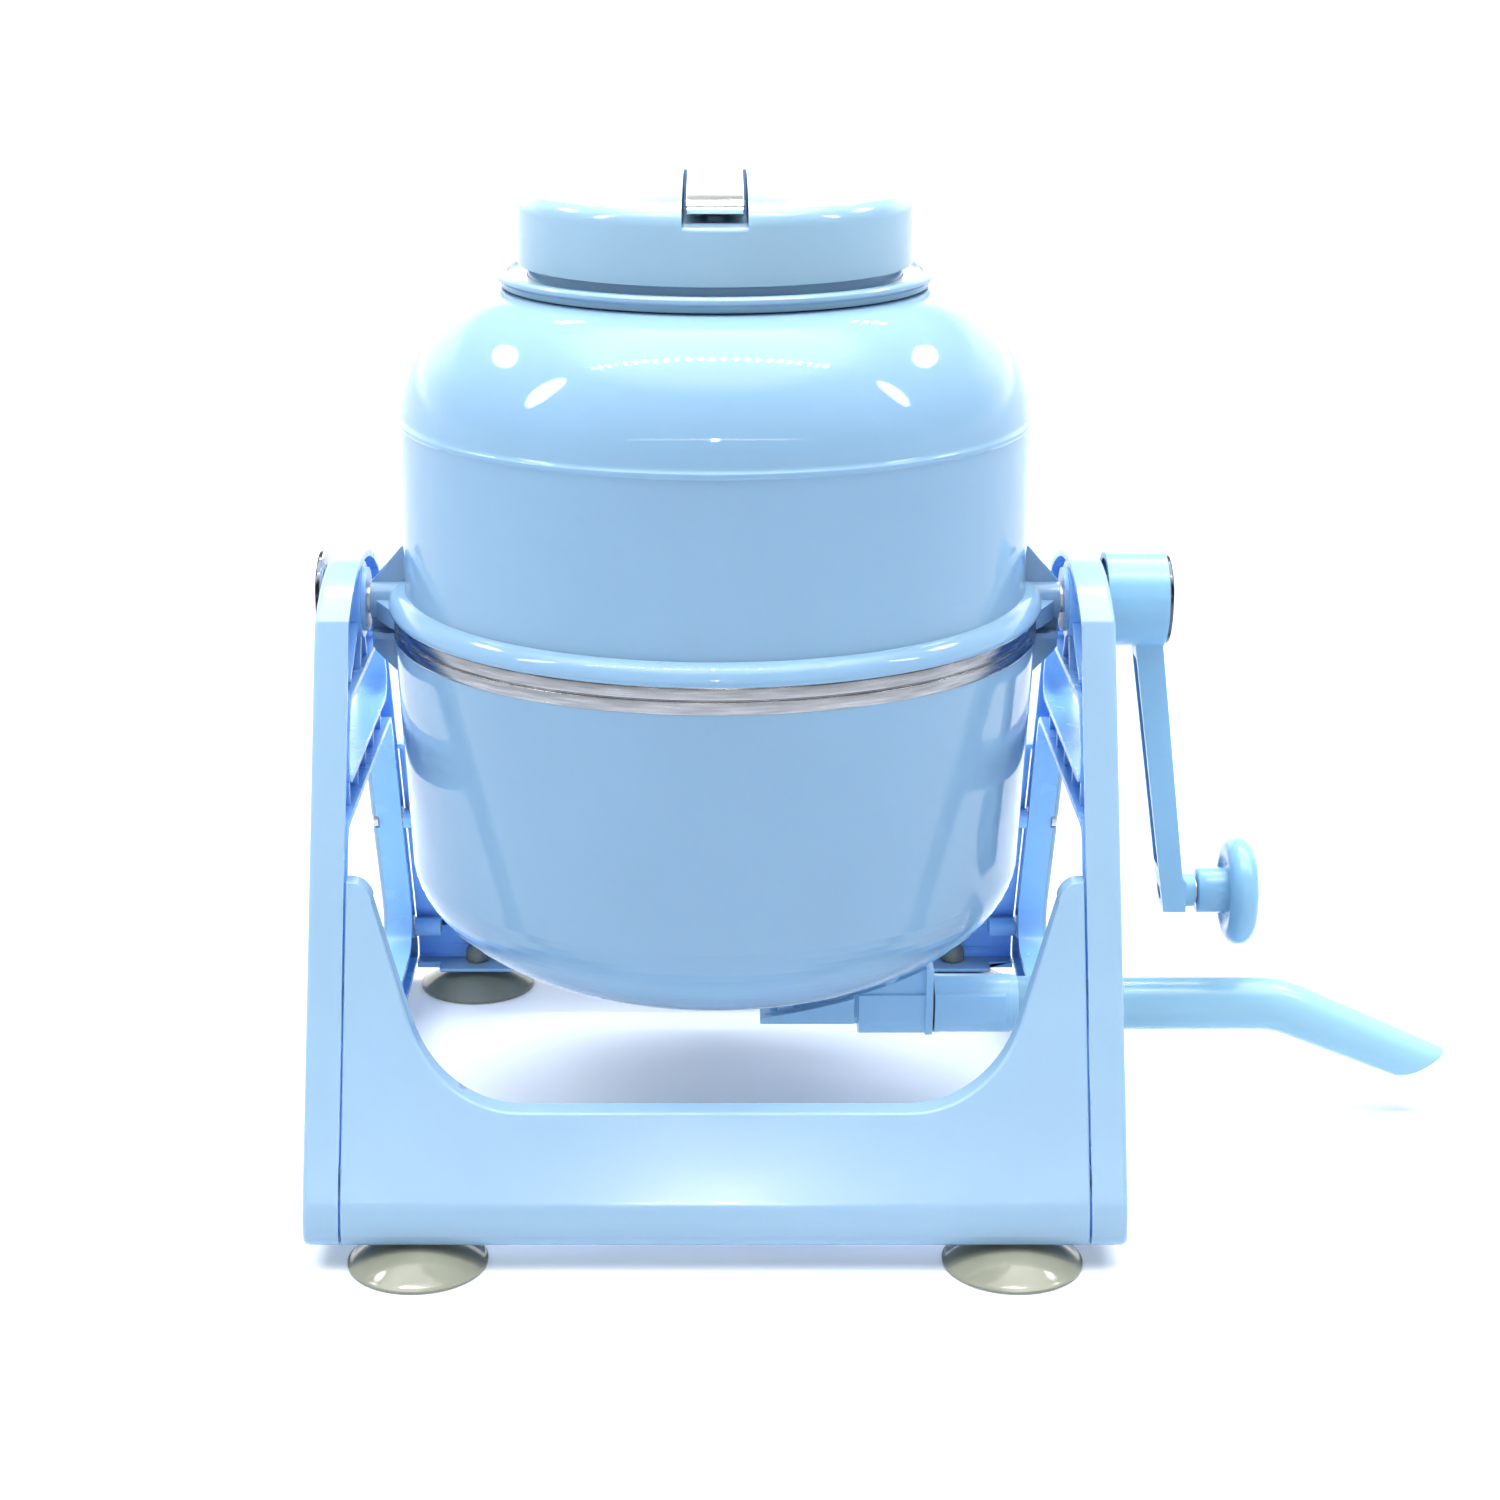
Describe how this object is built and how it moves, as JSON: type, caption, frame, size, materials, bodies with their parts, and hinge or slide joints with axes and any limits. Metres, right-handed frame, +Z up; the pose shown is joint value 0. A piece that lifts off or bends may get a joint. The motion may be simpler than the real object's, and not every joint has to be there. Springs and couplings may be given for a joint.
{
  "type": "hand-crank washing machine",
  "caption": "Tabletop hand-crank washing machine: lidded drum tumbling on trunnions in an A-frame stand with suction feet and a pull-out drain tube.",
  "frame": {"origin": "on the floor, under the middle of the drum, midway between the two side frames and the two panels", "axes": "+X from the blind trunnion to the crank side, +Y from front to rear, +Z up"},
  "size_m": [0.4737, 0.3346, 0.3965],
  "materials": {
    "blue_plastic": "glossy light-blue moulded plastic",
    "inner_plastic": "light-blue moulded plastic, satin",
    "white_plastic": "white low-friction plastic",
    "cup_vinyl": "translucent yellowish vinyl",
    "seal_rubber": "dark soft rubber",
    "steel_parts": "plain steel",
    "steel_band": "rolled stainless band",
    "bright_metal": "bright plated metal"
  },
  "bodies": {
    "stand": {"left_side_frame": "blue_plastic", "right_side_frame": "blue_plastic", "front_panel": "blue_plastic", "rear_panel": "blue_plastic", "panel_screws": "steel_parts", "left_bush": "inner_plastic", "right_bush": "inner_plastic", "foot_front_left": "cup_vinyl", "foot_front_right": "cup_vinyl", "foot_rear_left": "cup_vinyl", "foot_rear_right": "cup_vinyl"},
    "drum": {"lower_tub": "blue_plastic", "upper_shell": "blue_plastic", "tub_seal": "seal_rubber", "trunnion_ring": "blue_plastic", "band_trim": "steel_band", "neck_ring": "blue_plastic", "left_trunnion": "steel_parts", "left_end_cap": "bright_metal", "left_axle_screw": "steel_parts", "right_trunnion": "steel_parts", "crank_arm": "blue_plastic", "crank_screw": "steel_parts", "crank_cap": "bright_metal", "knob_spindle": "steel_parts", "drain_shoe": "blue_plastic", "shoe_screws": "steel_parts", "drain_strainer": "bright_metal", "valve_spring": "steel_parts"},
    "knob": {"crank_knob": "blue_plastic", "knob_cap": "blue_plastic"},
    "valve": {"valve_plunger": "white_plastic", "valve_seal": "seal_rubber"},
    "lid": {"lid_shell": "blue_plastic", "lid_underplate": "inner_plastic", "underplate_screws": "steel_parts"},
    "plate": {"pressure_plate": "inner_plastic", "lid_gasket": "seal_rubber", "clamp_stud": "steel_parts", "stud_nut": "steel_parts", "lever_pin": "steel_parts"},
    "lever": {"lid_lever": "bright_metal"},
    "tube": {"tube_connector": "blue_plastic", "tube_seal": "seal_rubber", "drain_tube": "blue_plastic"}
  },
  "joints": [
    {"name": "drum_spin", "type": "hinge", "parent": "stand", "child": "drum", "pos_m": [0, 0, 0.225], "axis": [1, 0, 0], "continuous": true},
    {"name": "knob_spin", "type": "hinge", "parent": "drum", "child": "knob", "pos_m": [0.215, 0, 0.099], "axis": [1, 0, 0], "continuous": true},
    {"name": "valve_lift", "type": "slide", "parent": "drum", "child": "valve", "axis": [0, 0, 1], "range_m": [0, 0.003], "stiffness_N_per_m": 300, "springref_m": -0.004, "deforming": ["valve_spring"]},
    {"name": "lid_lift", "type": "slide", "parent": "drum", "child": "lid", "axis": [0, 0, 1], "range_m": [0, 0.03]},
    {"name": "plate_drop", "type": "slide", "parent": "lid", "child": "plate", "axis": [0, 0, -1], "range_m": [0, 0.0029]},
    {"name": "lever_turn", "type": "hinge", "parent": "plate", "child": "lever", "pos_m": [0, 0, 0.3882], "axis": [-1, 0, 0], "range_deg": [0, 90]},
    {"name": "tube_pull", "type": "slide", "parent": "stand", "child": "tube", "axis": [1, 0, 0], "range_m": [0, 0.12]}
  ],
  "couplings": [
    {"joint": "plate_drop", "follows": "lever_turn", "m_per_rad": 0.0018462}
  ]
}
